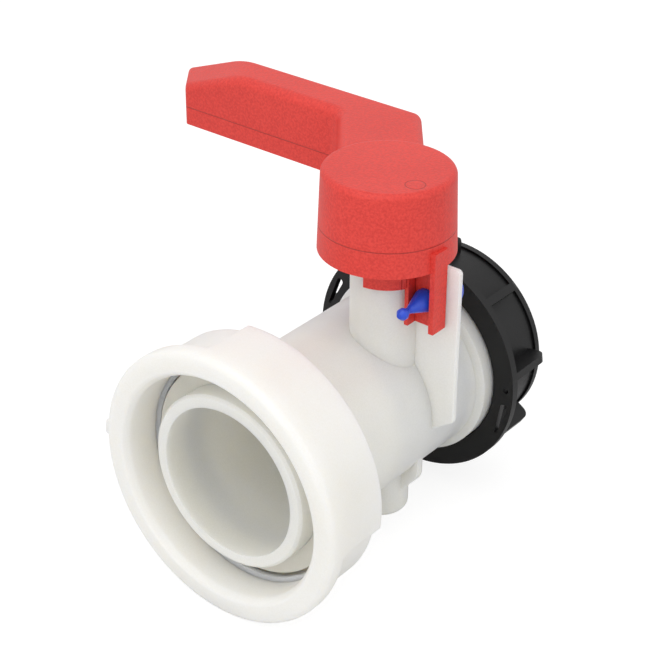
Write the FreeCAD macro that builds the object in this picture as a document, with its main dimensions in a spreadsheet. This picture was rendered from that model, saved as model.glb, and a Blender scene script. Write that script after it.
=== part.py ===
"""IBC tank valve: a 2 inch butterfly valve with a union nut, a locking handle and a screwed outlet cap.

Millimetres. The flow axis is Y: the origin is the centre of the inlet pipe's end face, +Y runs from the
tank to the outlet and +Z is up. The stem stands parallel to Z, beside the flow axis, at stem_x, stem_y.
"""
import FreeCAD, Part
import os
import re
import Sketcher

doc = FreeCAD.newDocument("ibc_tank_valve")
sizes = doc.addObject("Spreadsheet::Sheet", "sizes")
scratch = doc.addObject("Spreadsheet::Sheet", "scratch")

DRIVING_SIZES = {
    "working allowances": {
        "overshoot": 1,
        "facet_overshoot": 5,
    },
    "body": {
        "pipe_radius": 29.75,
        "pipe_bore": 25.5,
        "pipe_chamfer": 0.9,
        "body_length": 118,
        "chamber_radius": 27.6,
        "chamber_start": 50,
        "chamber_end": 90,
        "collar_start": 91.5,
        "collar_end": 98.5,
        "collar_radius": 32.4,
        "spigot_radius": 28.6,
    },
    "stem place and journals": {
        "stem_x": 10.4,
        "stem_y": 65.8,
        "neck_radius": 11.5,
        "neck_top": 56.5,
        "boss_radius": 9.35,
        "boss_depth": 39,
        "boss_round": 2.7,
        "pad_radius": 8.5,
        "pad_height": 20.6,
        "rib_reach": 15.9,
        "rib_corner": 21.5,
        "rib_foot": 30.5,
        "rib_round": 6,
        "rib_thickness": 2.6,
        "stem_radius": 7,
        "stem_socket_depth": 35,
        "trunnion_radius": 4,
        "running_gap": 0.05,
        "stem_end_gap": 0.5,
        "square_gap": 0.05,
        "square_width": 8.4,
        "head_square": 9.8,
        "head_top": 77,
        "head_bottom": 60.4,
    },
    "ear plate": {
        "ear_root": 10.9,
        "ear_reach": 27.2,
        "ear_top": 58.8,
        "ear_low": 4,
        "ear_toe": 2.2,
        "ear_front": 1,
        "ear_thickness": 1.8,
        "ear_round": 1.5,
    },
    "stem seals, bush and clip": {
        "o_ring_section": 2,
        "trunnion_ring_section": 1.5,
        "o_ring_gap": 0.03,
        "groove_side_gap": 0.2,
        "upper_ring_height": 42,
        "lower_ring_height": 36.5,
        "trunnion_ring_depth": 29.5,
        "bush_radius": 8.5,
        "bush_bottom": 46.5,
        "bush_flange": 1.7,
        "bush_flange_radius": 10.6,
        "clip_gap": 0.3,
        "clip_thickness": 1,
        "clip_radius": 9.6,
        "clip_groove": 1,
        "clip_mouth": 9,
    },
    "disc and seats": {
        "disc_radius": 24.3,
        "disc_thickness": 5,
        "disc_round": 0.8,
        "disc_boss": 7,
        "disc_end_gap": 0.3,
        "disc_side_gap": 0.4,
        "disc_rib_height": 2.2,
        "disc_rib_width": 2.4,
        "disc_rib_left_margin": 6,
        "disc_rib_right_margin": 3,
        "disc_side_rib_place": 10.2,
        "disc_side_rib_margin": 7.3,
        "disc_pin_inset": 0.3,
        "pin_radius": 1.6,
        "seat_bore": 22.6,
        "seat_thickness": 4,
        "seat_gap": 0.15,
        "seat_end_gap": 0.6,
    },
    "union nut, its ring and gasket": {
        "nut_front": 5.8,
        "nut_rear": 18.8,
        "nut_ring_radius": 46.6,
        "nut_ring_rear": 0,
        "nut_slope": 3.5,
        "nut_valley": 43.8,
        "nut_lug_radius": 46.2,
        "nut_lug_angle": 107.5,
        "nut_lug_phase": -8,
        "nut_edge_round": 2.4,
        "nut_lug_round": 1.6,
        "nut_bore": 37.8,
        "nut_face_bore": 39.4,
        "nut_mouth_depth": 2.3,
        "nut_flange_thickness": 4,
        "nut_turning_gap": 0.4,
        "nub_angle": 185,
        "nub_radius": 49.2,
        "nub_base": 7.5,
        "nub_top": 4.4,
        "nub_length": 4.2,
        "ring_width": 3,
        "ring_groove": 0.85,
        "ring_radius": 34.6,
        "ring_mouth": 8,
        "gasket_thickness": 3,
        "gasket_radius": 35.6,
    },
    "handle": {
        "hub_bottom": 59.2,
        "hub_top": 86.7,
        "hub_foot_radius": 22.1,
        "hub_top_radius": 21.06,
        "hub_round": 2,
        "hub_wall": 3,
        "hub_roof": 3.4,
        "socket_radius": 9.5,
        "socket_end_gap": 0.5,
        "head_foot_gap": 0.1,
        "lever_bottom": 61.3,
        "lever_top": 85.3,
        "arm_turn": 38.3,
        "arm_inner": 15.7,
        "arm_outer": 11.7,
        "grip_front": 26.8,
        "grip_back": 43.3,
        "grip_end": 70,
        "facet_start": 50,
        "facet_fall": 9.4,
        "lever_inner_round": 8,
        "lever_outer_round": 4,
        "lever_end_round": 2,
        "facet_round": 20,
        "lever_edge_round": 3.4,
        "lever_wall": 3,
        "lever_roof": 3.6,
        "lever_rib": 1.8,
        "lever_rib_place": 31,
        "lever_rib_pitch": 15,
        "lever_rib_step": 1.5,
        "lever_rib_root": 0.5,
        "arm_cell_start": 24,
        "arm_rib_end": 45,
    },
    "locking channel, lip and seal pin": {
        "lock_x": 17.2,
        "lock_z": 47.2,
        "leg_left": 11.8,
        "leg_left_wall": 1.4,
        "leg_right": 22.9,
        "leg_right_wall": 1.8,
        "leg_front": 6,
        "leg_back": 0.6,
        "leg_foot": 38,
        "leg_blend": 66,
        "web_front": 2,
        "web_thickness": 1.6,
        "lip_radius": 14,
        "lip_wall": 1.7,
        "lip_foot": 51,
        "lip_start": 27,
        "lip_angle": 57,
        "shank_radius": 1.9,
        "shank_gap": 0.3,
        "notch_place": 0.3,
        "notch_radius": 0.9,
        "notch_gap": 0.1,
        "notch_length": 0.5,
        "barb_radius": 3.8,
        "barb_back_gap": 0.1,
        "barb_full": 1.2,
        "barb_neck": 11,
        "barb_neck_radius": 1.1,
        "tip_place": 14.2,
        "tip_radius": 1.9,
        "pin_head_front": 7,
        "pin_head_back": 10,
        "pin_head_radius": 6.3,
        "pin_head_round": 1.1,
    },
    "outlet cap": {
        "cap_front": 97.2,
        "cap_rear": 123.7,
        "cap_flange": 2.8,
        "cap_flange_radius": 40.8,
        "cap_mouth": 33,
        "cap_mouth_gap": 0.4,
        "cap_bore": 30.4,
        "cap_skirt": 33.2,
        "cap_bead": 0.8,
        "cap_bead_width": 2.2,
        "fin_count": 9,
        "fin_phase": 8,
        "fin_radius": 39.8,
        "fin_rear": 119,
        "fin_thickness": 2.8,
        "fin_round": 1.1,
        "fin_rear_round": 3,
        "flange_hole_radius": 1,
        "flange_hole_place": 37.9,
        "flange_hole_angle": -6,
        "slot_place": 37.8,
        "slot_radius": 1.25,
        "slot_tip": 0.5,
        "slot_length": 11,
        "front_slot_angle": -16.5,
        "rear_slot_angle": 143,
        "liner_radius": 29.5,
        "liner_thickness": 2,
        "liner_gap": 0.25,
        "liner_seat_gap": 0.05,
    },
}


def fill_sheet():
    """One row for each size: its alias, its number as text and the group it drives."""
    row = 1
    for group, entries in DRIVING_SIZES.items():
        for alias, number in entries.items():
            sizes.set("A%d" % row, alias)
            sizes.set("B%d" % row, str(number))
            sizes.set("C%d" % row, group)
            sizes.setAlias("B%d" % row, alias)
            row += 1
    doc.recompute()


known_numbers = {}


def number(expression):
    """The value of an expression of the sheet's sizes, for starting positions and edge choices."""
    if expression not in known_numbers:
        scratch.set("A1", "=" + bound(expression))
        scratch.recompute()
        known_numbers[expression] = float(scratch.get("A1"))
    return known_numbers[expression]


def bound(expression):
    """The same expression as another object of the document must write it."""
    return re.sub(r"\b([a-z][a-z_]{2,})\b(?!\()", r"sizes.\1", expression)


def bind(thing, path, expression):
    thing.setExpression(path, bound(expression))


# ---- PartDesign helpers -------------------------------------------------------------------------------

def new_body(label, x="0", y="0", z="0"):
    """A body whose own origin stands at x, y, z."""
    body = doc.addObject("PartDesign::Body", label)
    body.Label = label
    place(body, x, y, z)
    return body


def place(thing, x="0", y="0", z="0"):
    bind(thing, "Placement.Base.x", x)
    bind(thing, "Placement.Base.y", y)
    bind(thing, "Placement.Base.z", z)


def turn_about_flow(thing, angle):
    """Turn a piece about the flow axis, from +X towards +Z."""
    thing.Placement = FreeCAD.Placement(FreeCAD.Vector(), FreeCAD.Rotation(FreeCAD.Vector(0, -1, 0), 1))
    bind(thing, "Placement.Rotation.Angle", angle)


def new_sketch(body, role, name, lift="0", turn=None, turn_axis=(0, 1, 0)):
    """A sketch on one of the body's origin planes, lifted along the plane's normal and turned."""
    plane = [item for item in body.Origin.OriginFeatures if item.Role == role][0]
    sketch = body.newObject("Sketcher::SketchObject", name)
    sketch.AttachmentSupport = [(plane, "")]
    sketch.MapMode = "FlatFace"
    if turn is not None:
        rotation = FreeCAD.Rotation(FreeCAD.Vector(*turn_axis), number(turn))
        sketch.AttachmentOffset = FreeCAD.Placement(FreeCAD.Vector(), rotation)
        bind(sketch, "AttachmentOffset.Rotation.Angle", turn)
    bind(sketch, "AttachmentOffset.Base.z", lift)
    return sketch


def pin_point(sketch, geometry, point, x, y):
    """Hold one point of a sketch at x, y, both bound to the sheet."""
    for kind, expression in (("DistanceX", x), ("DistanceY", y)):
        constraint = Sketcher.Constraint(kind, -1, 1, geometry, point, number(expression))
        index = sketch.addConstraint(constraint)
        bind(sketch, "Constraints[%d]" % index, expression)


def outline(sketch, corners):
    """A closed outline of straight sides through the corners, each a pair of expressions."""
    first = sketch.GeometryCount
    places = [FreeCAD.Vector(number(x), number(y), 0) for x, y in corners]
    for index, start in enumerate(places):
        end = places[(index + 1) % len(places)]
        sketch.addGeometry(Part.LineSegment(start, end), False)
    for index in range(len(places)):
        following = first + (index + 1) % len(places)
        sketch.addConstraint(Sketcher.Constraint("Coincident", first + index, 2, following, 1))
    for index, (x, y) in enumerate(corners):
        pin_point(sketch, first + index, 1, x, y)
    return sketch


def box_outline(sketch, left, right, low, high):
    return outline(sketch, [(left, low), (right, low), (right, high), (left, high)])


def circle(sketch, x, y, radius):
    centre = FreeCAD.Vector(number(x), number(y), 0)
    geometry = sketch.addGeometry(Part.Circle(centre, FreeCAD.Vector(0, 0, 1), number(radius)), False)
    pin_point(sketch, geometry, 3, x, y)
    index = sketch.addConstraint(Sketcher.Constraint("Radius", geometry, number(radius)))
    bind(sketch, "Constraints[%d]" % index, radius)
    return sketch


def volume(body):
    return body.Shape.Volume if body.Tip else 0.0


def add_feature(body, kind, name, sketch, grows):
    """A feature on a sketch; it must make the body larger, or smaller where it cuts."""
    before = volume(body)
    feature = body.newObject("PartDesign::" + kind, name)
    feature.Profile = sketch
    return feature, before, grows


def settle(body, started):
    feature, before, grows = started
    doc.recompute()
    change = body.Shape.Volume - before
    if (change > 0) != grows or abs(change) < 1e-3:
        raise RuntimeError("%s changes the volume by %g" % (feature.Name, change))
    return feature


def pad(body, sketch, length, reverse=False):
    started = add_feature(body, "Pad", sketch.Name + "_pad", sketch, True)
    bind(started[0], "Length", length)
    started[0].Reversed = reverse
    return settle(body, started)


def pocket(body, sketch, length, reverse=False):
    started = add_feature(body, "Pocket", sketch.Name + "_pocket", sketch, False)
    bind(started[0], "Length", length)
    started[0].Reversed = reverse
    return settle(body, started)


def revolve(body, sketch, angle=None, cut=False, reverse=False):
    """Turn an outline about the sketch's vertical axis."""
    kind = "Groove" if cut else "Revolution"
    started = add_feature(body, kind, sketch.Name + "_" + kind.lower(), sketch, not cut)
    started[0].ReferenceAxis = (sketch, ["V_Axis"])
    started[0].Reversed = reverse
    if angle is not None:
        bind(started[0], "Angle", angle)
    else:
        started[0].Angle = 360
    return settle(body, started)


def repeat_about(body, feature, axis_role, count):
    """Copy a feature evenly round one of the body's axes."""
    axis = [item for item in body.Origin.OriginFeatures if item.Role == axis_role][0]
    pattern = body.newObject("PartDesign::PolarPattern", feature.Name + "_round")
    pattern.Originals = [feature]
    pattern.Axis = (axis, [""])
    pattern.Angle = 360
    bind(pattern, "Occurrences", count)
    body.Tip = pattern
    doc.recompute()
    return pattern


def round_edges(body, name, radius, chosen):
    """Round the edges that chosen(middle of the edge, edge) picks."""
    base = body.Tip
    edges = []
    for index, edge in enumerate(base.Shape.Edges):
        if chosen(edge.BoundBox.Center, edge):
            edges.append("Edge%d" % (index + 1))
    fillet = body.newObject("PartDesign::Fillet", name)
    fillet.Base = (base, edges)
    bind(fillet, "Radius", radius)
    body.Tip = fillet
    doc.recompute()
    if not edges or "Invalid" in fillet.State:
        raise RuntimeError("%s on %s fails" % (name, edges))
    return fillet


EDGE_SLACK = 0.5  # millimetres within which an edge counts as at a height


def close_to(measured, expression, tolerance=0.02):
    return abs(measured - number(expression)) < tolerance


# ---- Part helpers -------------------------------------------------------------------------------------

def cylinder(label, radius, length, x="0", y="0", z="0", along="z"):
    """A cylinder from x, y, z along +Z or +Y."""
    solid = doc.addObject("Part::Cylinder", label)
    bind(solid, "Radius", radius)
    bind(solid, "Height", length)
    if along == "y":
        rotation = FreeCAD.Rotation(FreeCAD.Vector(1, 0, 0), -90)
        solid.Placement = FreeCAD.Placement(FreeCAD.Vector(), rotation)
    place(solid, x, y, z)
    return solid


def block(label, low, high):
    """A box from its low corner to its high corner."""
    solid = doc.addObject("Part::Box", label)
    for side, start, end in zip(("Length", "Width", "Height"), low, high):
        bind(solid, side, "(%s) - (%s)" % (end, start))
    place(solid, *low)
    return solid


def torus(label, ring_radius, section_radius, x, y, z):
    solid = doc.addObject("Part::Torus", label)
    bind(solid, "Radius1", ring_radius)
    bind(solid, "Radius2", section_radius)
    place(solid, x, y, z)
    return solid


def cut(label, base, tool):
    result = doc.addObject("Part::Cut", label)
    result.Base = base
    result.Tool = tool
    result.Label = label
    doc.recompute()
    return result


# ---- The valve body -----------------------------------------------------------------------------------

STEM = ("stem_x", "stem_y")


def make_valve_body():
    """Inlet pipe, chamber, collar and spigot in one moulding with the neck, ear plate, boss and rib."""
    body = new_body("valve_body")
    tube = outline(new_sketch(body, "XY_Plane", "tube"), [
        ("0", "0"),
        ("pipe_radius - pipe_chamfer", "0"),
        ("pipe_radius", "pipe_chamfer"),
        ("pipe_radius", RING_FRONT),
        ("pipe_radius - ring_groove", RING_FRONT),
        ("pipe_radius - ring_groove", RING_REAR),
        ("pipe_radius", RING_REAR),
        ("pipe_radius", "collar_start"),
        ("collar_radius", "collar_start + (collar_radius - pipe_radius) / 2"),
        ("collar_radius", "collar_end"),
        ("spigot_radius", "collar_end"),
        ("spigot_radius", "body_length - pipe_chamfer"),
        ("spigot_radius - pipe_chamfer", "body_length"),
        ("0", "body_length"),
    ])
    revolve(body, tube)

    pad(body, circle(new_sketch(body, "XY_Plane", "neck"), *STEM, "neck_radius"), "neck_top")
    pad(body, circle(new_sketch(body, "XY_Plane", "boss"), *STEM, "boss_radius"), "boss_depth", reverse=True)
    round_edges(body, "boss_end", "boss_round", lambda middle, edge: close_to(middle.z, "-boss_depth"))

    rib = outline(new_sketch(body, "XZ_Plane", "rib", "-stem_y - rib_thickness / 2"), [
        ("stem_x", "-boss_radius"),
        ("stem_x + rib_reach", "-boss_radius"),
        ("stem_x + rib_reach", "-rib_corner"),
        ("stem_x + boss_radius - overshoot", "-rib_foot"),
        ("stem_x", "-rib_foot"),
    ])
    pad(body, rib, "rib_thickness")
    round_edges(body, "rib_corner_round", "rib_round",
                lambda middle, edge: close_to(middle.z, "-rib_corner")
                and close_to(middle.x, "stem_x + rib_reach"))

    ear = outline(new_sketch(body, "XZ_Plane", "ear", "-stem_y - ear_front - ear_thickness"), [
        ("stem_x + ear_root", "ear_top"),
        ("stem_x + ear_root", "0"),
        ("pipe_radius - overshoot", "-ear_toe"),
        ("stem_x + ear_reach", "ear_low"),
        ("stem_x + ear_reach", "ear_top"),
    ])
    pad(body, ear, "ear_thickness")
    round_edges(body, "ear_corner", "ear_round",
                lambda middle, edge: close_to(middle.z, "ear_top")
                and close_to(middle.x, "stem_x + ear_reach"))

    bore = outline(new_sketch(body, "XY_Plane", "bore"), [
        ("0", "-1"),
        ("pipe_bore", "-1"),
        ("pipe_bore", "chamber_start"),
        ("chamber_radius", "chamber_start + chamber_radius - pipe_bore"),
        ("chamber_radius", "chamber_end - chamber_radius + pipe_bore"),
        ("pipe_bore", "chamber_end"),
        ("pipe_bore", "body_length + overshoot"),
        ("0", "body_length + overshoot"),
    ])
    revolve(body, bore, cut=True)

    for name, lift, reverse in (("upper_pad", "pad_height", False), ("lower_pad", "-pad_height", True)):
        sketch = circle(new_sketch(body, "XY_Plane", name, lift), *STEM, "pad_radius")
        pad(body, sketch, "chamber_radius - pad_height", reverse)

    journal = circle(new_sketch(body, "XY_Plane", "stem_bore"), *STEM, "stem_radius + running_gap")
    pocket(body, journal, "neck_top + overshoot", reverse=True)
    counterbore = circle(new_sketch(body, "XY_Plane", "bush_bore", "bush_bottom"), *STEM, "bush_radius")
    pocket(body, counterbore, "neck_top", reverse=True)
    trunnion = circle(new_sketch(body, "XY_Plane", "trunnion_bore"), *STEM, "trunnion_radius + running_gap")
    pocket(body, trunnion, "stem_socket_depth")
    seal_hole = new_sketch(body, "XZ_Plane", "seal_hole", "-stem_y - ear_front")
    circle(seal_hole, "stem_x + lock_x", "lock_z", "shank_radius + shank_gap")
    pocket(body, seal_hole, "ear_thickness * 2", reverse=False)
    return body


# ---- The stem and what is on it -----------------------------------------------------------------------

def ring_groove_corners(height, journal, section):
    """Four corners of an O-ring's groove, from its lower edge up."""
    half = "(%s / 2 + groove_side_gap)" % section
    floor = "%s + running_gap - o_ring_gap - %s" % (journal, section)
    return [
        (journal, "%s - %s" % (height, half)),
        (floor, "%s - %s" % (height, half)),
        (floor, "%s + %s" % (height, half)),
        (journal, "%s + %s" % (height, half)),
    ]


def make_stem():
    """One spindle: trunnion, square through the disc, journal with its grooves, square head."""
    body = new_body("stem", *STEM)
    foot = "-stem_socket_depth + stem_end_gap"
    profile = [("0", foot), ("trunnion_radius", foot)]
    profile += ring_groove_corners("-trunnion_ring_depth", "trunnion_radius", "trunnion_ring_section")
    profile += [("trunnion_radius", "-pad_height"), ("square_width / 2", "-pad_height")]
    profile += [("square_width / 2", "pad_height"), ("stem_radius", "pad_height")]
    profile += ring_groove_corners("lower_ring_height", "stem_radius", "o_ring_section")
    profile += ring_groove_corners("upper_ring_height", "stem_radius", "o_ring_section")
    profile += [
        ("stem_radius", CLIP_BOTTOM),
        ("stem_radius - clip_groove", CLIP_BOTTOM),
        ("stem_radius - clip_groove", CLIP_TOP),
        ("stem_radius", CLIP_TOP),
        ("stem_radius", "head_bottom"),
        ("head_square / 2", "head_bottom"),
        ("head_square / 2", "head_top"),
        ("0", "head_top"),
    ]
    revolve(body, outline(new_sketch(body, "XZ_Plane", "spindle"), profile))
    for name, low, high, width in (("disc_square", "-pad_height", "pad_height", "square_width"),
                                   ("head", "head_bottom", "head_top", "head_square")):
        half = "%s / 2" % width
        square = new_sketch(body, "XY_Plane", name, low)
        box_outline(square, "-" + half, half, "-" + half, half)
        pad(body, square, "%s - (%s)" % (high, low))
    hole = circle(new_sketch(body, "XZ_Plane", "stem_pin_hole", "-stem_radius"), "0", "0", "pin_radius")
    pocket(body, hole, "stem_radius * 2", reverse=True)
    return body


def make_o_rings():
    rings = []
    for label, height, journal, section in (
            ("stem_o_ring_upper", "upper_ring_height", "stem_radius", "o_ring_section"),
            ("stem_o_ring_lower", "lower_ring_height", "stem_radius", "o_ring_section"),
            ("trunnion_o_ring", "-trunnion_ring_depth", "trunnion_radius", "trunnion_ring_section")):
        middle = "%s + running_gap - o_ring_gap - %s / 2" % (journal, section)
        rings.append(torus(label, middle, section + " / 2", *STEM, height))
    return rings


def make_stem_bush():
    """The flanged bush that closes the top of the neck round the stem."""
    body = new_body("stem_bush", *STEM)
    revolve(body, outline(new_sketch(body, "XZ_Plane", "bush"), [
        ("stem_radius + running_gap", "bush_bottom"),
        ("bush_radius", "bush_bottom"),
        ("bush_radius", "neck_top"),
        ("bush_flange_radius", "neck_top"),
        ("bush_flange_radius", "neck_top + bush_flange"),
        ("stem_radius + running_gap", "neck_top + bush_flange"),
    ]))
    return body


def make_stem_clip():
    """The open spring clip in the stem's groove, over the bush."""
    washer = cut("clip_washer", cylinder("clip_round", "clip_radius", "clip_thickness", *STEM, CLIP_BOTTOM),
                 cylinder("clip_eye", "stem_radius - clip_groove", "clip_thickness * 3", *STEM,
                          CLIP_BOTTOM + " - clip_thickness"))
    mouth = block("clip_opening",
                  ("stem_x - clip_mouth / 2", "stem_y", CLIP_BOTTOM + " - clip_thickness"),
                  ("stem_x + clip_mouth / 2", "stem_y + clip_radius * 2", CLIP_TOP + " + clip_thickness"))
    return cut("stem_clip", washer, mouth)


# ---- The disc and its seats ---------------------------------------------------------------------------

def make_disc():
    """The closing disc, eccentric to its stem, with a boss, end faces and stiffening ribs."""
    body = new_body("butterfly_disc", "0", "stem_y", "0")
    plate = circle(new_sketch(body, "XZ_Plane", "plate", "-disc_thickness / 2"), "0", "0", "disc_radius")
    pad(body, plate, "disc_thickness")
    round_edges(body, "plate_rim", "disc_round", lambda middle, edge: edge.Length > number("disc_radius") * 5)
    end = "(pad_height - disc_end_gap)"
    ribs = new_sketch(body, "XZ_Plane", "disc_ribs", "disc_thickness / 2")
    box_outline(ribs, "-disc_radius + disc_rib_left_margin", "disc_radius - disc_rib_right_margin",
                "-disc_rib_width / 2", "disc_rib_width / 2")
    pad(body, ribs, "disc_rib_height")
    for name, side in (("rib_above", "1"), ("rib_below", "-1")):
        sketch = new_sketch(body, "XZ_Plane", name, "disc_thickness / 2")
        box_outline(sketch, "-disc_radius + disc_side_rib_margin", "stem_x",
                    "%s * disc_side_rib_place - disc_rib_width / 2" % side,
                    "%s * disc_side_rib_place + disc_rib_width / 2" % side)
        pad(body, sketch, "disc_rib_height")
    boss = circle(new_sketch(body, "XY_Plane", "disc_hub", "-" + end), "stem_x", "0", "disc_boss")
    pad(body, boss, end + " * 2")
    for name, lift, reverse in (("upper_face", end, True), ("lower_face", "-" + end, False)):
        sketch = new_sketch(body, "XY_Plane", name, lift)
        circle(sketch, "stem_x", "0", "pad_radius + disc_side_gap")
        pocket(body, sketch, "disc_radius", reverse)
    square = new_sketch(body, "XY_Plane", "stem_square", "-disc_radius")
    half = "(square_width / 2 + square_gap)"
    box_outline(square, "stem_x - " + half, "stem_x + " + half, "-" + half, half)
    pocket(body, square, "disc_radius * 2", reverse=True)
    hole = circle(new_sketch(body, "XZ_Plane", "disc_pin_hole", "-disc_boss * 2"), "stem_x", "0", "pin_radius")
    pocket(body, hole, "disc_boss * 4", reverse=True)
    return body


def make_disc_pin():
    """The cross pin that holds the disc on the stem, flush inside its boss."""
    return cylinder("disc_pin", "pin_radius", "(disc_boss - disc_pin_inset) * 2", "stem_x",
                    "stem_y - disc_boss + disc_pin_inset", "0", along="y")


def make_seats():
    """Two part rings on the chamber wall: each stops one wing of the disc on the side it closes from."""
    seats = []
    beside = "pad_radius + seat_end_gap"
    for label, front in (("seat_tank_side", "stem_y - disc_thickness / 2 - seat_gap - seat_thickness"),
                         ("seat_outlet_side", "stem_y + disc_thickness / 2 + seat_gap")):
        ring = cut(label + "_ring",
                   cylinder(label + "_round", "chamber_radius", "seat_thickness", "0", front, "0", "y"),
                   cylinder(label + "_eye", "seat_bore", "seat_thickness * 3", "0",
                            front + " - seat_thickness", "0", "y"))
        left, right = "-chamber_radius * 2", "stem_x + " + beside
        if label == "seat_tank_side":
            left, right = "stem_x - (%s)" % beside, "chamber_radius * 2"
        waste = block(label + "_open_side", (left, front + " - overshoot", "-chamber_radius * 2"),
                      (right, front + " + seat_thickness + overshoot", "chamber_radius * 2"))
        seats.append(cut(label, ring, waste))
    return seats


# ---- The union nut, the ring that keeps it on and the gasket -------------------------------------------

def make_union_nut():
    """A coarse-threaded nut: front ring with a nub, two wide lugs, an inward flange at the rear."""
    body = new_body("union_nut")
    turn_about_flow(body, "nut_lug_phase")
    flange_front = "nut_rear - nut_flange_thickness"
    shell = outline(new_sketch(body, "XY_Plane", "nut_shell"), [
        ("nut_face_bore", "-nut_front"),
        ("nut_ring_radius", "-nut_front"),
        ("nut_ring_radius", "nut_ring_rear"),
        ("nut_valley", "nut_ring_rear + nut_slope"),
        ("nut_valley", "nut_rear"),
        ("pipe_radius + nut_turning_gap", "nut_rear"),
        ("pipe_radius + nut_turning_gap", flange_front),
        ("nut_bore", flange_front),
        ("nut_bore", "-nut_front + nut_mouth_depth"),
    ])
    revolve(body, shell)
    round_edges(body, "nut_front_edge", "nut_edge_round",
                lambda middle, edge: close_to(edge.BoundBox.YMax, "-nut_front")
                and edge.BoundBox.XLength > number("nut_ring_radius * 1.9"))
    nub = new_sketch(body, "XZ_Plane", "nub", "nut_front - nut_edge_round - nub_length", "nub_angle", (0, 0, 1))
    outline(nub, [
        ("nut_ring_radius - overshoot", "-nub_base / 2"),
        ("nub_radius", "-nub_top / 2"),
        ("nub_radius", "nub_top / 2"),
        ("nut_ring_radius - overshoot", "nub_base / 2"),
    ])
    pad(body, nub, "nub_length")
    lug = new_sketch(body, "XY_Plane", "lug")
    box_outline(lug, "nut_valley - overshoot", "nut_lug_radius", "nut_ring_rear - overshoot", "nut_rear")
    lug_turn = revolve(body, lug, angle="nut_lug_angle", reverse=True)
    repeat_about(body, lug_turn, "Y_Axis", "2")
    round_edges(body, "nut_lug_rear", "nut_lug_round",
                lambda middle, edge: edge.Curve.TypeId != "Part::GeomLine"
                and close_to(edge.BoundBox.YMin, "nut_rear") and edge.Length > number("nut_valley")
                and close_to(edge.Curve.Radius, "nut_lug_radius"))
    return body


def make_retaining_ring():
    """The open ring that snaps into the pipe's groove in front of the nut's flange."""
    washer = cut("ring_washer", cylinder("ring_round", "ring_radius", "ring_width", "0", RING_FRONT, "0", "y"),
                 cylinder("ring_eye", "pipe_radius - ring_groove", "ring_width * 3", "0",
                          RING_FRONT + " - ring_width", "0", "y"))
    mouth = block("ring_opening", ("-ring_mouth / 2", RING_FRONT + " - overshoot", "-ring_radius * 2"),
                  ("ring_mouth / 2", RING_REAR + " + overshoot", "0"))
    return cut("nut_retaining_ring", washer, mouth)


def make_inlet_gasket():
    front = RING_FRONT + " - gasket_thickness"
    return cut("inlet_gasket", cylinder("gasket_round", "gasket_radius", "gasket_thickness", "0", front, "0", "y"),
               cylinder("gasket_eye", "pipe_radius", "gasket_thickness * 3", "0",
                        front + " - gasket_thickness", "0", "y"))


# ---- The handle ---------------------------------------------------------------------------------------

def along_arm(across, along):
    """A point of the handle's plane, given across the arm and along it from the stem."""
    x = "(%s) * cos(arm_turn) - (%s) * sin(arm_turn)" % (across, along)
    y = "(%s) * sin(arm_turn) + (%s) * cos(arm_turn)" % (across, along)
    return x, y


def side_at(across, y):
    """Where a line parallel to the arm, at its distance across, reaches y."""
    return "((%s) - (%s) * sin(arm_turn)) / cos(arm_turn)" % (across, y), y


def lever_outline(sketch, wall, start, length):
    """The bent lever from above, drawn in by a wall, from its start on the arm to its end on the grip."""
    inner, outer = "-arm_inner + " + wall, "arm_outer - " + wall
    front, back = "grip_front + " + wall, "grip_back - " + wall
    end = "-%s + %s" % (length, wall)
    return outline(sketch, [
        along_arm(outer, start),
        side_at(outer, back),
        side_at(end, back),
        side_at(end, front),
        side_at(inner, front),
        along_arm(inner, start),
    ])


def make_handle():
    """Hub, arm and grip moulded hollow from below, with the lip, the locking channel and the square socket."""
    body = new_body("handle", *STEM)
    lever = lever_outline(new_sketch(body, "XY_Plane", "lever", "lever_bottom"), "0", "0", "grip_end")
    pad(body, lever, "lever_top - lever_bottom")
    corner = [side_at("-arm_inner", "grip_front"), side_at("arm_outer", "grip_back")]
    for name, radius, (x, y) in (("lever_inner_corner", "lever_inner_round", corner[0]),
                                 ("lever_outer_corner", "lever_outer_round", corner[1])):
        round_edges(body, name, radius, lambda middle, edge: edge.BoundBox.ZLength > 1
                    and close_to(middle.x, x) and close_to(middle.y, y))
    facet = outline(new_sketch(body, "XZ_Plane", "end_facet", turn="arm_turn"), [
        ("-facet_start", "lever_top"),
        ("-facet_start", "lever_top + overshoot"),
        ("-grip_end - facet_overshoot", "lever_top + overshoot"),
        ("-grip_end - facet_overshoot",
         "lever_top - facet_fall * (grip_end + facet_overshoot - facet_start) / (grip_end - facet_start)"),
    ])
    pocket(body, facet, "grip_back * 4")
    round_lever_top(body)
    hub = outline(new_sketch(body, "XZ_Plane", "hub"), [
        ("0", "hub_bottom"),
        ("hub_foot_radius", "hub_bottom"),
        ("hub_top_radius", "hub_top"),
        ("0", "hub_top"),
    ])
    revolve(body, hub)
    round_edges(body, "hub_top_edge", "hub_round", lambda middle, edge: close_to(edge.BoundBox.ZMin, "hub_top"))
    hollow_handle(body)
    add_lip_and_channel(body)
    socket = new_sketch(body, "XY_Plane", "socket", "head_bottom")
    half = "(head_square / 2 + square_gap)"
    box_outline(socket, "-" + half, half, "-" + half, half)
    pocket(body, socket, "head_top - head_bottom + socket_end_gap", reverse=True)
    return body


def across_arm(point):
    """How far a point stands from the stem, measured across the arm's direction."""
    return point.x * number("cos(arm_turn)") + point.y * number("sin(arm_turn)")


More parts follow.
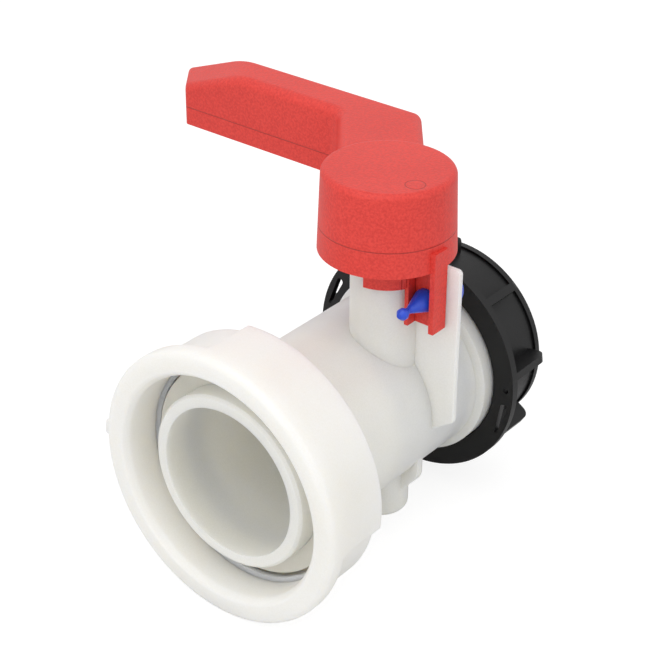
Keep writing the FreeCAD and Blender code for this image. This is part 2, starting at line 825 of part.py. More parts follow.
def round_lever_top(body):
    """Soften the crease at the end facet, then the lever's long top edges, then its end."""
    round_edges(body, "facet_crease", "facet_round",
                lambda middle, edge: close_to(edge.BoundBox.ZMin, "lever_top")
                and close_to(across_arm(middle), "-facet_start"))
    lowest = number("lever_top - facet_fall")

    def is_long_top_edge(middle, edge):
        at_end = close_to(across_arm(middle), "-grip_end")
        over_crease = edge.BoundBox.YLength > 1 and middle.x < number("-facet_start")
        in_hub = (middle.x ** 2 + middle.y ** 2) ** 0.5 < number("socket_radius")
        return edge.BoundBox.ZMax > lowest + EDGE_SLACK and edge.BoundBox.ZMin > lowest - EDGE_SLACK and not (
            at_end or over_crease or in_hub)

    round_edges(body, "lever_top_edge", "lever_edge_round", is_long_top_edge)
    round_edges(body, "lever_end_edge", "lever_end_round",
                lambda middle, edge: close_to(across_arm(middle), "-grip_end")
                and edge.BoundBox.ZMin > lowest - EDGE_SLACK and edge.Length > number("grip_back - grip_front") / 2)


def hollow_handle(body):
    """Open the hub and the lever from below, and leave ribs across the grip and along the arm."""
    roof = "(hub_top - hub_roof)"
    socket_foot = "(head_bottom + head_foot_gap)"
    recess = outline(new_sketch(body, "XZ_Plane", "hub_recess"), [
        ("0", "hub_bottom - overshoot"),
        ("hub_foot_radius - hub_wall", "hub_bottom - overshoot"),
        ("hub_top_radius - hub_wall", roof),
        ("socket_radius", roof),
        ("socket_radius", socket_foot),
        ("0", socket_foot),
    ])
    revolve(body, recess, cut=True)
    depth = "lever_top - lever_bottom - lever_roof"
    cell = new_sketch(body, "XY_Plane", "lever_cell", "lever_bottom")
    pocket(body, lever_outline(cell, "lever_wall", "arm_cell_start", "facet_start"), depth, reverse=True)
    end_cell = outline(new_sketch(body, "XY_Plane", "end_cell", "lever_bottom"), [
        side_at("-facet_start", "grip_back - lever_wall"),
        side_at("-grip_end + lever_wall", "grip_back - lever_wall"),
        side_at("-grip_end + lever_wall", "grip_front + lever_wall"),
        side_at("-facet_start", "grip_front + lever_wall"),
    ])
    pocket(body, end_cell, depth + " - facet_fall", reverse=True)
    rib_length = depth + " - lever_rib_step + lever_rib_root"
    for index in range(4):
        left = "-lever_rib_place - %d * lever_rib_pitch" % index
        rib = new_sketch(body, "XY_Plane", "grip_rib_%d" % index, "lever_bottom + lever_rib_step")
        box_outline(rib, left, left + " + lever_rib", "grip_front + lever_wall / 2", "grip_back - lever_wall / 2")
        pad(body, rib, rib_length)
    middle = "(arm_outer - arm_inner) / 2"
    sides = ("%s - lever_rib / 2" % middle, "%s + lever_rib / 2" % middle)
    arm_rib = outline(new_sketch(body, "XY_Plane", "arm_rib", "lever_bottom + lever_rib_step"), [
        along_arm(sides[0], "arm_cell_start - overshoot"),
        along_arm(sides[1], "arm_cell_start - overshoot"),
        along_arm(sides[1], "arm_rib_end"),
        along_arm(sides[0], "arm_rib_end"),
    ])
    pad(body, arm_rib, rib_length)


def add_lip_and_channel(body):
    """The lip that hangs round the neck, and the channel that the seal pin locks to the ear plate."""
    roof = "(hub_top - hub_roof / 2)"
    lip = new_sketch(body, "XZ_Plane", "lip", turn="-lip_start")
    box_outline(lip, "lip_radius - lip_wall", "lip_radius", "lip_foot", roof)
    revolve(body, lip, angle="lip_angle", reverse=True)
    for name, left, right, front, back, top in (
            ("left_leg", "leg_left", "leg_left + leg_left_wall", "-leg_front", "leg_back", roof),
            ("right_leg", "leg_right - leg_right_wall", "leg_right", "-leg_front", "leg_back", "leg_blend"),
            ("web", "leg_left", "leg_right - leg_right_wall / 2", "-web_front", "-web_front + web_thickness",
             "hub_bottom + hub_wall")):
        sketch = box_outline(new_sketch(body, "XY_Plane", name, "leg_foot"), left, right, front, back)
        pad(body, sketch, "%s - leg_foot" % top)
    hole = circle(new_sketch(body, "XZ_Plane", "web_hole", "web_front - web_thickness * 2"), "lock_x", "lock_z",
                  "shank_radius + shank_gap")
    pocket(body, hole, "web_thickness * 3", reverse=True)


# ---- The seal pin -------------------------------------------------------------------------------------

def make_seal_pin_head():
    """The pin's round head behind the ear plate, with its shank through the plate as far as the notch."""
    body = new_body("seal_pin_head", "stem_x + lock_x", "stem_y", "lock_z")
    start = "notch_place + notch_gap / 2"
    revolve(body, outline(new_sketch(body, "XY_Plane", "pin_head"), [
        ("0", start),
        ("notch_radius", start),
        ("shank_radius", start + " + notch_length"),
        ("shank_radius", "pin_head_front"),
        ("pin_head_radius", "pin_head_front"),
        ("pin_head_radius", "pin_head_back"),
        ("0", "pin_head_back"),
    ]))
    round_edges(body, "pin_head_edge", "pin_head_round",
                lambda middle, edge: close_to(edge.BoundBox.YMin, "pin_head_back"))
    return body


def make_seal_pin_barb():
    """The barb in the channel, from the notch through the web to its tip."""
    body = new_body("seal_pin_barb", "stem_x + lock_x", "stem_y", "lock_z")
    start = "notch_place - notch_gap / 2"
    back = "-web_front - barb_back_gap"
    revolve(body, outline(new_sketch(body, "XY_Plane", "pin_barb"), [
        ("0", start),
        ("notch_radius", start),
        ("shank_radius", start + " - notch_length"),
        ("shank_radius", back),
        ("barb_radius", back),
        ("barb_radius", back + " - barb_full"),
        ("barb_neck_radius", "-barb_neck"),
        ("barb_neck_radius", "-tip_place + tip_radius"),
        ("tip_radius", "-tip_place + tip_radius / 3"),
        ("tip_radius", "-tip_place - tip_radius / 3"),
        ("notch_radius", "-tip_place - tip_radius"),
        ("0", "-tip_place - tip_radius"),
    ]))
    return body


# ---- The outlet cap -----------------------------------------------------------------------------------

def make_outlet_cap():
    """A screwed cap: skirt and closed end, front flange over the collar, grip fins round the skirt."""
    body = new_body("outlet_cap")
    turn_about_flow(body, "fin_phase")
    revolve(body, outline(new_sketch(body, "XY_Plane", "cap_shell"), [
        ("0", CAP_FLOOR),
        ("cap_bore", CAP_FLOOR),
        ("cap_bore", "collar_end + cap_mouth_gap"),
        ("cap_mouth", "collar_end + cap_mouth_gap"),
        ("cap_mouth", "cap_front"),
        ("cap_flange_radius", "cap_front"),
        ("cap_flange_radius", "cap_front + cap_flange"),
        ("cap_skirt", "cap_front + cap_flange"),
        ("cap_skirt", "cap_rear - cap_bead_width"),
        ("cap_skirt + cap_bead", "cap_rear - cap_bead_width"),
        ("cap_skirt + cap_bead", "cap_rear"),
        ("0", "cap_rear"),
    ]))
    fin = new_sketch(body, "XY_Plane", "fin", "-fin_thickness / 2")
    box_outline(fin, "cap_skirt - overshoot", "fin_radius", "cap_front + cap_flange / 2", "fin_rear")
    repeat_about(body, pad(body, fin, "fin_thickness"), "Y_Axis", "fin_count")
    round_edges(body, "fin_rear_corners", "fin_rear_round",
                lambda middle, edge: close_to(edge.BoundBox.YMin, "fin_rear")
                and close_to(edge.Length, "fin_thickness")
                and close_to((middle.x ** 2 + middle.z ** 2) ** 0.5, "fin_radius"))
    cut_flange_openings(body)
    return body


def cut_flange_openings(body):
    """A small round hole and two tapering slots through the flange, between the fins."""
    hole = new_sketch(body, "XZ_Plane", "flange_hole", "-cap_front - cap_flange * 2", "flange_hole_angle", (0, 0, 1))
    pocket(body, circle(hole, "flange_hole_place", "0", "flange_hole_radius"), "cap_flange * 3", reverse=True)
    for name, angle, side in (("front_slot", "front_slot_angle", "-1"), ("rear_slot", "rear_slot_angle", "1")):
        wide = new_sketch(body, "XZ_Plane", name + "_end", "-cap_front - cap_flange * 2", angle, (0, 0, 1))
        pocket(body, circle(wide, "slot_place", "0", "slot_radius"), "cap_flange * 3", reverse=True)
        taper = new_sketch(body, "XZ_Plane", name + "_taper", "-cap_front - cap_flange * 2", angle, (0, 0, 1))
        outline(taper, [
            ("slot_place - slot_radius", "0"),
            ("slot_place + slot_radius", "0"),
            ("slot_place - slot_tip", side + " * slot_length"),
            ("slot_place - slot_tip * 3", side + " * slot_length"),
        ])
        pocket(body, taper, "cap_flange * 3", reverse=True)


def make_cap_liner():
    return cylinder("cap_liner", "liner_radius", "liner_thickness", "0", "body_length + liner_gap", "0", "y")


# ---- Building and writing -----------------------------------------------------------------------------

RING_REAR = "(nut_rear - nut_flange_thickness - nut_turning_gap)"
RING_FRONT = "(%s - ring_width)" % RING_REAR
CLIP_BOTTOM = "(neck_top + bush_flange + clip_gap)"
CLIP_TOP = "(%s + clip_thickness)" % CLIP_BOTTOM
CAP_FLOOR = "(body_length + liner_gap + liner_thickness + liner_seat_gap)"


def check_document(parts):
    """Stop on any failed object, and on a sub-part without a sound solid."""
    for thing in doc.Objects:
        if "Invalid" in thing.State or "Error" in thing.State:
            raise RuntimeError("%s failed: %s" % (thing.Name, thing.State))
    for piece in parts:
        if piece.Shape.isNull() or not piece.Shape.isValid() or len(piece.Shape.Solids) != 1:
            raise RuntimeError(piece.Label + " isn't one valid solid")


def write_parts(parts):
    os.makedirs("parts", exist_ok=True)
    for piece in parts:
        piece.Shape.exportStep(os.path.join("parts", piece.Label + ".step"))
        print("%-20s %10.1f mm3" % (piece.Label, piece.Shape.Volume))


def main():
    fill_sheet()
    parts = [make_valve_body(), make_stem(), make_stem_bush(), make_stem_clip(), make_disc(), make_disc_pin()]
    parts += make_o_rings() + make_seats()
    parts += [make_union_nut(), make_retaining_ring(), make_inlet_gasket()]
    parts += [make_handle(), make_seal_pin_head(), make_seal_pin_barb()]
    parts += [make_outlet_cap(), make_cap_liner()]
    for piece in parts:
        piece.Label = piece.Name
    doc.recompute()
    check_document(parts)
    write_parts(parts)


main()
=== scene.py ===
"""Looks of an IBC tank valve: natural white pipe and union nut, red handle, blue seal pin, black cap.

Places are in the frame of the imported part: the flow axis is Y, the origin is the centre of the inlet
pipe's end face and +Z is up. Sizes below are in millimetres and MM turns them to metres.
"""
import bmesh
import bpy
from math import atan2, cos, degrees, hypot, pi, radians, sin
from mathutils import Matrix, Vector


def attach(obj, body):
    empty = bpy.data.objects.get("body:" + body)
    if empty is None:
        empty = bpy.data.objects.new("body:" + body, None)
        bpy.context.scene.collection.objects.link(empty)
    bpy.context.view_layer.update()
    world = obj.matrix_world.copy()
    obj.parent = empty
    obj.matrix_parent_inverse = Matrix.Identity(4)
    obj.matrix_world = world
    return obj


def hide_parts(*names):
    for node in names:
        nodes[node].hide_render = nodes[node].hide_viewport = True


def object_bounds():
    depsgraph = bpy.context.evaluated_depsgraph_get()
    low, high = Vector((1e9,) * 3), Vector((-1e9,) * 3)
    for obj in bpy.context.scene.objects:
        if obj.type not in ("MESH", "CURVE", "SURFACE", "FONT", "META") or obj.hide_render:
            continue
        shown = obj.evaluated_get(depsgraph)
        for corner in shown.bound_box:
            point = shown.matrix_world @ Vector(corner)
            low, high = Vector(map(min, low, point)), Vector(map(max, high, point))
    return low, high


MM = 0.001
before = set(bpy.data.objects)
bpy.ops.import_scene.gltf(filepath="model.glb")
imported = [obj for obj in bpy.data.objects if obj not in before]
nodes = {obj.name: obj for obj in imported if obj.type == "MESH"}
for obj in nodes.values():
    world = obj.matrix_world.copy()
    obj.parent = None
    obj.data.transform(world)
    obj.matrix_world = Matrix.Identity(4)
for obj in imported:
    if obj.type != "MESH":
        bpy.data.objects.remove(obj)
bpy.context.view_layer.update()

# ---- Sizes of the pieces made here, in millimetres ----------------------------------------------------
NUT_FRONT, NUT_REAR = -5.8, 18.8            # along the flow
NUT_RING, NUT_VALLEY, NUT_LUG = 46.6, 43.8, 46.2    # outer radii: front ring, barrel, lugs
NUT_BORE, NUT_FACE_BORE, NUT_PIPE_HOLE = 37.8, 39.4, 30.15
NUT_MOUTH, NUT_SLOPE_END, NUT_FLANGE_FRONT = -3.5, 3.5, 14.8
NUT_EDGE = 2.4                              # rounding of the front edge
NUT_SEGMENTS = 180                          # two degrees each, so lugs and nub start on a vertex
LUG_ANGLES = ((-8, 98), (172, 278))
NUB_ANGLES = (172, 182)
NUB_REACH, NUB_TAPER = 2.6, 0.6             # height, and its top's width as a share of its base's
NUT_SOFT_EDGE = 0.7                         # rounding of the nut's other edges
TANK_THREAD = {"root": 38.4, "crest": 36.5, "pitch": 6, "start": 6.6, "turns": 1.15}
SPIGOT_THREAD = {"root": 28.3, "crest": 29.8, "pitch": 6, "start": 102.5, "turns": 2.2}
THREAD_WIDTH, THREAD_CREST = 0.42, 0.42     # ridge width as a share of the pitch, crest as a share of that
THREAD_STEPS, THREAD_RUN_OUT = 96, 14       # segments a turn, and segments over which an end sinks away
SMOOTH_BELOW = 35                           # degrees: softer creases than this are shaded smooth
MERGE_DISTANCE = 0.002
PARTING_HEIGHT = 67.9                       # where the handle's mould halves met
GATE_MARK = (24.4, 60.4, 3.1)               # x, y and radius of the ring that the hub's mould insert left

# ---- Camera -------------------------------------------------------------------------------------------
CAMERA_TURN, CAMERA_RISE, CAMERA_ROLL = 38.82, 30.03, 0.335   # degrees
CAMERA_DISTANCE = 582.1
CAMERA_TARGET = (-15.47, 67.23, 20.6)
CAMERA_LENS, SENSOR_WIDTH = 96.85, 36


# ---- Helpers for edit mode ----------------------------------------------------------------------------

def start_piece(name, add_primitive, **settings):
    """Adds a primitive, moves its place into its mesh and goes to edit mode with all of it selected."""
    bpy.ops.object.select_all(action="DESELECT")
    add_primitive(**settings)
    piece = bpy.context.object
    piece.name = piece.data.name = name
    bpy.ops.object.transform_apply(location=True, rotation=True, scale=True)
    bpy.ops.object.mode_set(mode="EDIT")
    bpy.ops.mesh.select_mode(type="VERT")
    bpy.ops.mesh.select_all(action="SELECT")
    return piece


def start_ring(name, segments, radius, place):
    """A ring of vertices round the flow axis, the first one at +X and the second towards +Z."""
    return start_piece(name, bpy.ops.mesh.primitive_circle_add, vertices=segments, radius=radius * MM,
                       location=(0, place * MM, 0), rotation=(pi / 2, 0, 0))


def choose(kind, wanted):
    """Selects only those vertices, edges or faces of the edited mesh that wanted() accepts."""
    mesh = bmesh.from_edit_mesh(bpy.context.edit_object.data)
    bpy.ops.mesh.select_mode(type={"verts": "VERT", "edges": "EDGE", "faces": "FACE"}[kind])
    bpy.ops.mesh.select_all(action="DESELECT")
    for item in getattr(mesh, kind):
        item.select_set(bool(wanted(item)))
    mesh.select_flush_mode()
    bmesh.update_edit_mesh(bpy.context.edit_object.data)


def finish_piece(piece):
    """Closes doubles, points the faces outwards and leaves edit mode with soft shading between creases."""
    bpy.ops.mesh.select_all(action="SELECT")
    bpy.ops.mesh.remove_doubles(threshold=MERGE_DISTANCE * MM)
    bpy.ops.mesh.normals_make_consistent(inside=False)
    bpy.ops.object.mode_set(mode="OBJECT")
    bpy.ops.object.shade_smooth_by_angle(angle=radians(SMOOTH_BELOW))
    return piece


def radius_of(point):
    return hypot(point.x, point.z) / MM


def angle_of(point):
    """Degrees round the flow axis from +X towards +Z, from -90 to 270."""
    angle = degrees(atan2(point.z, point.x))
    return angle + 360 if angle < -90 else angle


def middle(item):
    return sum((v.co for v in item.verts), Vector()) / len(item.verts)


def sweep_ring(profile):
    """Extrudes the selected ring along the profile's (radius, place) points, scaled about the flow axis."""
    for (radius, place), (next_radius, next_place) in zip(profile, profile[1:]):
        bpy.ops.mesh.extrude_region_move(TRANSFORM_OT_translate={"value": (0, (next_place - place) * MM, 0)})
        growth = next_radius / radius
        bpy.ops.transform.resize(value=(growth, 1, growth), center_override=(0, 0, 0))


def soften(piece, width, segments, limit):
    """Rounds the piece's sharp edges as a mould does."""
    bevel = piece.modifiers.new("soft_edges", "BEVEL")
    bevel.width, bevel.segments = width * MM, segments
    bevel.limit_method, bevel.angle_limit = "ANGLE", radians(limit)
    bevel.use_clamp_overlap = True
    bpy.ops.object.select_all(action="DESELECT")
    piece.select_set(True)
    bpy.context.view_layer.objects.active = piece
    bpy.ops.object.modifier_apply(modifier=bevel.name)
    bpy.ops.object.shade_smooth_by_angle(angle=radians(SMOOTH_BELOW))


# ---- The union nut ------------------------------------------------------------------------------------

def make_union_nut():
    """Front ring, sloped valley, two wide lugs and a nub, with the inward flange at the rear."""
    rounding = [(NUT_RING - NUT_EDGE + NUT_EDGE * sin(turn), NUT_FRONT + NUT_EDGE - NUT_EDGE * cos(turn))
                for turn in (radians(15 * step) for step in range(7))]
    profile = [(NUT_FACE_BORE, NUT_FRONT)] + rounding + [
        (NUT_RING, 0), (NUT_VALLEY, NUT_SLOPE_END), (NUT_VALLEY, 0.5 * (NUT_SLOPE_END + NUT_REAR)),
        (NUT_VALLEY, NUT_REAR), (NUT_PIPE_HOLE, NUT_REAR), (NUT_PIPE_HOLE, NUT_FLANGE_FRONT),
        (NUT_BORE, NUT_FLANGE_FRONT), (NUT_BORE, NUT_MOUTH), (NUT_FACE_BORE, NUT_FRONT)]
    nut = start_ring("union_nut_moulded", NUT_SEGMENTS, *profile[0])
    sweep_ring(profile)
    bpy.ops.mesh.select_all(action="SELECT")
    bpy.ops.mesh.remove_doubles(threshold=MERGE_DISTANCE * MM)
    for low, high in LUG_ANGLES:
        choose("verts", lambda v: radius_of(v.co) > NUT_VALLEY - 1 and v.co.y / MM > NUT_SLOPE_END - 0.1
               and low - 0.1 < angle_of(v.co) < high + 0.1)
        growth = NUT_LUG / NUT_VALLEY
        bpy.ops.transform.resize(value=(growth, 1, growth), center_override=(0, 0, 0))
    choose("faces", lambda f: NUB_ANGLES[0] < angle_of(middle(f)) < NUB_ANGLES[1]
           and NUT_FRONT + NUT_EDGE < middle(f).y / MM < 0 and radius_of(middle(f)) > NUT_RING - 0.5)
    centre = (-(NUT_RING + NUB_REACH) * MM, 0, 0.5 * (sin(radians(NUB_ANGLES[0])) + sin(radians(NUB_ANGLES[1])))
              * NUT_RING * MM)
    bpy.ops.mesh.extrude_region_move(TRANSFORM_OT_translate={"value": (-NUB_REACH * MM, 0, 0)})
    bpy.ops.transform.resize(value=(1, 1, NUB_TAPER), center_override=centre)
    finish_piece(nut)
    soften(nut, NUT_SOFT_EDGE, segments=3, limit=28)
    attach(nut, "nut")
    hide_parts("union_nut")
    return nut


def make_thread(name, body, slot, root, crest, pitch, start, turns):
    """One helical ridge round the flow axis: a trapezoid carried round by a screw, its ends run out."""
    steps = round(THREAD_STEPS * turns)
    reach = abs(crest - root)
    ridge = start_piece(name, bpy.ops.mesh.primitive_circle_add, vertices=4, radius=pitch * THREAD_WIDTH * MM,
                        location=(root * MM, start * MM, 0), rotation=(0, 0, pi / 4))
    bpy.ops.transform.resize(value=(reach / (pitch * THREAD_WIDTH) / 2 ** 0.5, 1, 1),
                             center_override=(root * MM, 0, 0))
    bpy.ops.transform.translate(value=((crest - root) / 2 * MM, 0, 0))
    choose("verts", lambda v: abs(v.co.x / MM - crest) < reach / 2)
    bpy.ops.transform.resize(value=(1, THREAD_CREST, 1), center_override=(crest * MM, start * MM, 0))
    bpy.ops.object.mode_set(mode="OBJECT")
    screw = ridge.modifiers.new("helix", "SCREW")
    screw.axis, screw.angle, screw.screw_offset = "Y", 2 * pi * turns, pitch * turns * MM
    screw.steps = screw.render_steps = steps
    screw.use_smooth_shade = False
    bpy.ops.object.modifier_apply(modifier=screw.name)
    bpy.ops.object.mode_set(mode="EDIT")
    for step in range(THREAD_RUN_OUT):
        sunk = 1 + (root / crest - 1) * (1 - step / THREAD_RUN_OUT) * 1.02
        for ring in (step, steps - step):
            choose("verts", lambda v: v.index // 4 == ring
                   and abs(radius_of(v.co) - crest) < reach / 2)
            bpy.ops.transform.resize(value=(sunk, 1, sunk), center_override=(0, 0, 0))
    bpy.ops.mesh.select_all(action="SELECT")
    bpy.ops.mesh.fill_holes(sides=4)
    finish_piece(ridge)
    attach(ridge, body)
    return ridge


nut = make_union_nut()
tank_thread = make_thread("union_nut_thread", "nut", "nut_white", **TANK_THREAD)
spigot_thread = make_thread("spigot_thread", "valve", "white_pe", **SPIGOT_THREAD)


# ---- Materials ----------------------------------------------------------------------------------------

def linear(shade):
    """An sRGB hex colour as linear red, green, blue and alpha."""
    parts = [int(shade[i:i + 2], 16) / 255 for i in (0, 2, 4)]
    return tuple(p / 12.92 if p <= 0.04045 else ((p + 0.055) / 1.055) ** 2.4 for p in parts) + (1,)


def add_node(tree, kind, inputs=(), **settings):
    """Adds one node. inputs maps a socket's name or number to a value or to another node's socket."""
    added = tree.nodes.new(kind)
    for name, value in settings.items():
        setattr(added, name, value)
    for socket, value in dict(inputs).items():
        if isinstance(value, bpy.types.NodeSocket):
            tree.links.new(value, added.inputs[socket])
        else:
            added.inputs[socket].default_value = value
    return added


def per_metre(size):
    """A noise scale whose features are that many millimetres across."""
    return 1 / (size * MM)


def line_gaps(tree, place, parting, gate):
    """Sockets with the distance from the parting line at one height and from the round gate mark."""
    gaps = []
    if parting is not None:
        height = add_node(tree, "ShaderNodeSeparateXYZ", {"Vector": place}).outputs["Z"]
        gaps.append(add_node(tree, "ShaderNodeMath", {0: height, 1: parting * MM}, operation="SUBTRACT"))
    if gate is not None:
        x, y, radius = (size * MM for size in gate)
        flat = add_node(tree, "ShaderNodeVectorMath", {0: place, 1: (1, 1, 0)}, operation="MULTIPLY")
        reach = add_node(tree, "ShaderNodeVectorMath", {0: flat.outputs[0], 1: (x, y, 0)}, operation="DISTANCE")
        gaps.append(add_node(tree, "ShaderNodeMath", {0: reach.outputs["Value"], 1: radius},
                             operation="SUBTRACT"))
    return [add_node(tree, "ShaderNodeMath", {0: gap.outputs[0]}, operation="ABSOLUTE").outputs[0]
            for gap in gaps]


def moulded(name, pale, deep, cloud, grain, grain_depth, roughness, parting=None, gate=None, waviness=0.03,
            speckle=0.2, **shader):
    """Injection-moulded plastic: colour clouds where the melt mixed, a fine mould grain in the bump, the
    tone and the roughness, slow sink marks, and where given a parting line and a round gate mark."""
    material = bpy.data.materials.new(name)
    material.use_nodes = True
    tree = material.node_tree
    tree.nodes.clear()
    place = add_node(tree, "ShaderNodeTexCoord").outputs["Object"]
    clouds = add_node(tree, "ShaderNodeTexNoise", {"Vector": place, "Scale": per_metre(cloud), "Detail": 3,
                                                   "Roughness": 0.5}).outputs["Fac"]
    fine = add_node(tree, "ShaderNodeTexNoise", {"Vector": place, "Scale": per_metre(grain), "Detail": 2,
                                                 "Roughness": 0.6}).outputs["Fac"]
    specks = add_node(tree, "ShaderNodeMapRange", {"Value": fine, "From Min": 0.35, "From Max": 0.65,
                                                   "To Min": speckle, "To Max": -speckle})
    tone = add_node(tree, "ShaderNodeMath", {0: clouds, 1: specks.outputs[0]}, operation="ADD", use_clamp=True)
    colour = add_node(tree, "ShaderNodeMix", {"Factor": tone.outputs[0]}, data_type="RGBA")
    colour.inputs[6].default_value, colour.inputs[7].default_value = linear(pale), linear(deep)
    shown = colour.outputs[2]
    dull = add_node(tree, "ShaderNodeMapRange", {"Value": fine, "From Min": 0.3, "From Max": 0.7,
                                                 "To Min": roughness - 0.06, "To Max": roughness + 0.06})
    slow = add_node(tree, "ShaderNodeTexNoise", {"Vector": place, "Scale": per_metre(9), "Detail": 1})
    sunk = add_node(tree, "ShaderNodeBump", {"Height": slow.outputs["Fac"], "Strength": 1.0,
                                             "Distance": waviness * MM})
    bump = add_node(tree, "ShaderNodeBump", {"Height": fine, "Strength": 1.0, "Distance": grain_depth * MM,
                                             "Normal": sunk.outputs["Normal"]})
    for gap in line_gaps(tree, place, parting, gate):
        line = add_node(tree, "ShaderNodeMapRange", {"Value": gap, "From Min": 0.0, "From Max": 0.3 * MM,
                                                     "To Min": 0.0, "To Max": 1.0}).outputs[0]
        bump = add_node(tree, "ShaderNodeBump", {"Height": line, "Strength": 1.0, "Distance": 0.15 * MM,
                                                 "Normal": bump.outputs["Normal"]})
        darker = add_node(tree, "ShaderNodeMix", {"Factor": line}, data_type="RGBA")
        darker.inputs[6].default_value = tuple(0.62 * part for part in linear(deep)[:3]) + (1,)
        tree.links.new(shown, darker.inputs[7])
        shown = darker.outputs[2]
    surface = add_node(tree, "ShaderNodeBsdfPrincipled", {
        "Base Color": shown, "Roughness": dull.outputs[0], "Normal": bump.outputs["Normal"],
        **{socket.replace("_", " "): value for socket, value in shader.items()}})
    add_node(tree, "ShaderNodeOutputMaterial", {"Surface": surface.outputs["BSDF"]})
    return material


# Natural high density polyethylene, injection moulded: milky, a little see-through, waxy sheen.
WHITE_POLYETHYLENE = moulded(
    "natural_polyethylene_moulded", "F0EFEA", "E6E5DE", cloud=22, grain=0.5, grain_depth=0.004,
    roughness=0.36, IOR=1.52, Subsurface_Weight=1.0, Subsurface_Radius=(1, 0.95, 0.82),
    Subsurface_Scale=7 * MM)
# Natural polypropylene, injection moulded: whiter and glossier, with a soft inner glow.
NATURAL_POLYPROPYLENE = moulded(
    "natural_polypropylene_moulded", "F5F4F1", "EEECE6", cloud=26, grain=0.5, grain_depth=0.004,
    roughness=0.34, IOR=1.49, Subsurface_Weight=1.0, Subsurface_Radius=(1, 0.95, 0.85),
    Subsurface_Scale=7 * MM)
# Red polypropylene from a spark-eroded mould: matt, finely pebbled; the grain is drawn about twice its
# real size so that it shows.
RED_POLYPROPYLENE = moulded(
    "red_polypropylene_spark_eroded", "E64238", "D4322A", cloud=30, grain=0.8, grain_depth=0.14,
    roughness=0.5, speckle=0.5, parting=PARTING_HEIGHT, gate=GATE_MARK, IOR=1.49, Subsurface_Weight=0.05,
    Subsurface_Radius=(1, 0.25, 0.2), Subsurface_Scale=1 * MM)
# Blue polypropylene, injection moulded thin: bright and slightly see-through.
BLUE_POLYPROPYLENE = moulded(
    "blue_polypropylene_moulded", "2C56D8", "1F45C4", cloud=6, grain=0.4, grain_depth=0.01,
    roughness=0.33, IOR=1.49, Subsurface_Weight=0.15, Subsurface_Radius=(0.3, 0.4, 1),
    Subsurface_Scale=1 * MM)
# Black polyethylene, moulded with carbon black: even, with a low soft sheen.
BLACK_POLYETHYLENE = moulded(
    "black_polyethylene_moulded", "131314", "0B0B0C", cloud=18, grain=0.6, grain_depth=0.02,
    roughness=0.42, IOR=1.52, Specular_IOR_Level=0.3)
# Glass-filled stem plastic: greyish white with fine fibre specks.
STEM_PLASTIC = moulded(
    "glass_filled_polypropylene", "D9D8D2", "C9C8C0", cloud=3, grain=0.35, grain_depth=0.02,
    roughness=0.45, IOR=1.5)
# Moulded nitrile rubber: near-black and matt.
O_RING_RUBBER = moulded(
    "nitrile_rubber_moulded", "1D1D1E", "141415", cloud=5, grain=0.3, grain_depth=0.01,
    roughness=0.55, IOR=1.52)
# Cut flat from pale rubber sheet: matt with a faint grain.
GASKET_RUBBER = moulded(
    "pale_rubber_sheet", "E9E7DE", "DEDBD0", cloud=6, grain=0.4, grain_depth=0.02,
    roughness=0.6, IOR=1.52, Subsurface_Weight=0.1, Subsurface_Scale=1 * MM)
# Spring steel strip, rolled and bright.
SPRING_STEEL = moulded(
    "spring_steel_rolled", "B9BBBD", "A6A8AB", cloud=4, grain=0.25, grain_depth=0.004,
    roughness=0.3, Metallic=1.0)

FINISHES = {
    "valve_body": WHITE_POLYETHYLENE, "seat_tank_side": WHITE_POLYETHYLENE,
    "seat_outlet_side": WHITE_POLYETHYLENE, "stem_bush": WHITE_POLYETHYLENE,
    "butterfly_disc": WHITE_POLYETHYLENE, "nut_retaining_ring": NATURAL_POLYPROPYLENE,
    "union_nut": NATURAL_POLYPROPYLENE, "inlet_gasket": GASKET_RUBBER, "cap_liner": GASKET_RUBBER,
    "handle": RED_POLYPROPYLENE, "seal_pin_head": BLUE_POLYPROPYLENE, "seal_pin_barb": BLUE_POLYPROPYLENE,
    "outlet_cap": BLACK_POLYETHYLENE, "stem": STEM_PLASTIC, "disc_pin": SPRING_STEEL,
    "stem_clip": SPRING_STEEL, "stem_o_ring_upper": O_RING_RUBBER, "stem_o_ring_lower": O_RING_RUBBER,
    "trunnion_o_ring": O_RING_RUBBER,
}
for name, finish in FINISHES.items():
    for holder in nodes[name].material_slots:
        holder.material = finish
for piece, finish in ((nut, NATURAL_POLYPROPYLENE), (tank_thread, NATURAL_POLYPROPYLENE),
                      (spigot_thread, WHITE_POLYETHYLENE)):
    piece.data.materials.append(finish)


# ---- Floor, light and camera --------------------------------------------------------------------------

def make_floor():
    """A pale floor that shows white to the camera and keeps a soft shadow."""
    floor_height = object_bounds()[0][2] - 0.05 * MM
    bpy.ops.mesh.primitive_plane_add(size=6, location=(0, 0, floor_height))
    floor = bpy.context.object
    floor.name = "studio_floor"
    paper = bpy.data.materials.new("white_studio_paper")
    paper.use_nodes = True
    tree = paper.node_tree
    tree.nodes.clear()
    seen = add_node(tree, "ShaderNodeLightPath").outputs["Is Camera Ray"]
    lit = add_node(tree, "ShaderNodeBsdfDiffuse", {"Color": (0.78, 0.78, 0.78, 1)})
    faint = add_node(tree, "ShaderNodeBsdfDiffuse", {"Color": (0.3, 0.3, 0.3, 1)})
    glow = add_node(tree, "ShaderNodeEmission", {"Color": (1, 1, 1, 1), "Strength": 0.82})
    shown = add_node(tree, "ShaderNodeAddShader", {0: faint.outputs[0], 1: glow.outputs[0]})
    mixed = add_node(tree, "ShaderNodeMixShader", {0: seen, 1: lit.outputs[0], 2: shown.outputs[0]})
    add_node(tree, "ShaderNodeOutputMaterial", {"Surface": mixed.outputs[0]})
    floor.data.materials.append(paper)


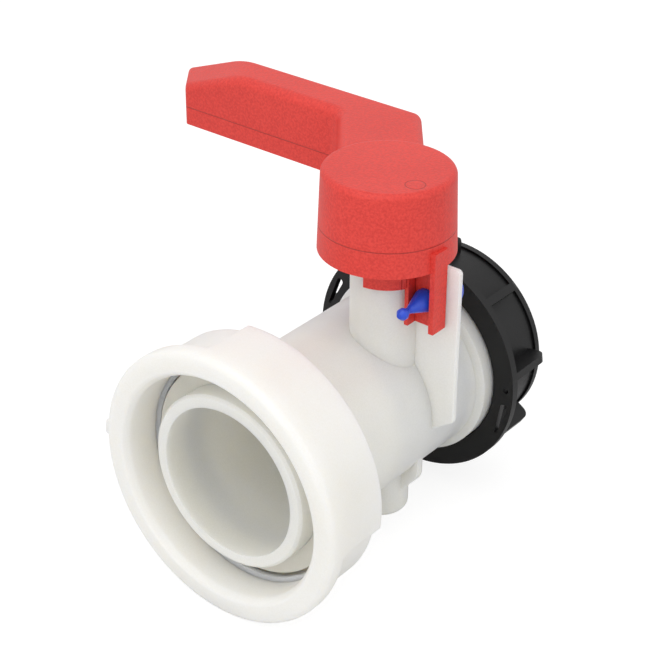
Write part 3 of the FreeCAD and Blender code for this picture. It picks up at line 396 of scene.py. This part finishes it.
def make_world(ambient):
    """Soft light from all round, which the camera and reflections see as white."""
    world = bpy.data.worlds.new("studio")
    world.use_nodes = True
    bpy.context.scene.world = world
    tree = world.node_tree
    tree.nodes.clear()
    path = add_node(tree, "ShaderNodeLightPath")
    seen = add_node(tree, "ShaderNodeMath",
                    {0: path.outputs["Is Camera Ray"], 1: path.outputs["Is Glossy Ray"]}, operation="MAXIMUM")
    seen = add_node(tree, "ShaderNodeMath", {0: seen.outputs[0], 1: path.outputs["Is Transmission Ray"]},
                    operation="MAXIMUM")
    soft = add_node(tree, "ShaderNodeBackground", {"Color": (1, 1, 1, 1), "Strength": ambient})
    white = add_node(tree, "ShaderNodeBackground", {"Color": (1, 1, 1, 1), "Strength": 1.0})
    mixed = add_node(tree, "ShaderNodeMixShader", {0: seen.outputs[0], 1: soft.outputs[0], 2: white.outputs[0]})
    add_node(tree, "ShaderNodeOutputWorld", {"Surface": mixed.outputs[0]})


def direction(turn, rise):
    """From the object towards a place seen at that azimuth and height, in degrees."""
    turn, rise = radians(turn), radians(rise)
    return Vector((sin(turn) * cos(rise), -cos(turn) * cos(rise), sin(rise)))


def aim(thing, turn, rise, distance):
    """Places a lamp or the camera round the target and turns it to face the target."""
    target = Vector(CAMERA_TARGET) * MM
    away = direction(turn, rise)
    thing.location = target + away * distance * MM
    thing.rotation_euler = away.to_track_quat("Z", "Y").to_euler()


def make_lamp(name, turn, rise, distance, size, watts):
    """A square soft box."""
    lamp = bpy.data.lights.new(name, "AREA")
    lamp.shape, lamp.size, lamp.energy = "SQUARE", size * MM, watts
    box = bpy.data.objects.new(name, lamp)
    bpy.context.scene.collection.objects.link(box)
    aim(box, turn, rise, distance)


def make_camera():
    """Looks at the target from the camera's place, with a small roll."""
    camera = bpy.data.objects.new("camera", bpy.data.cameras.new("camera"))
    camera.data.lens, camera.data.sensor_width = CAMERA_LENS, SENSOR_WIDTH
    bpy.context.scene.collection.objects.link(camera)
    aim(camera, CAMERA_TURN, CAMERA_RISE, CAMERA_DISTANCE)
    camera.rotation_euler.rotate_axis("Z", radians(CAMERA_ROLL))
    bpy.context.scene.camera = camera


make_floor()
make_world(ambient=0.78)
make_lamp("soft_box_above", turn=5, rise=62, distance=1000, size=900, watts=2.6)
make_lamp("soft_box_front", turn=8, rise=14, distance=1000, size=700, watts=0.9)
make_lamp("soft_box_right", turn=95, rise=30, distance=1100, size=800, watts=0.9)
make_camera()
bpy.context.scene.view_settings.view_transform = "Standard"
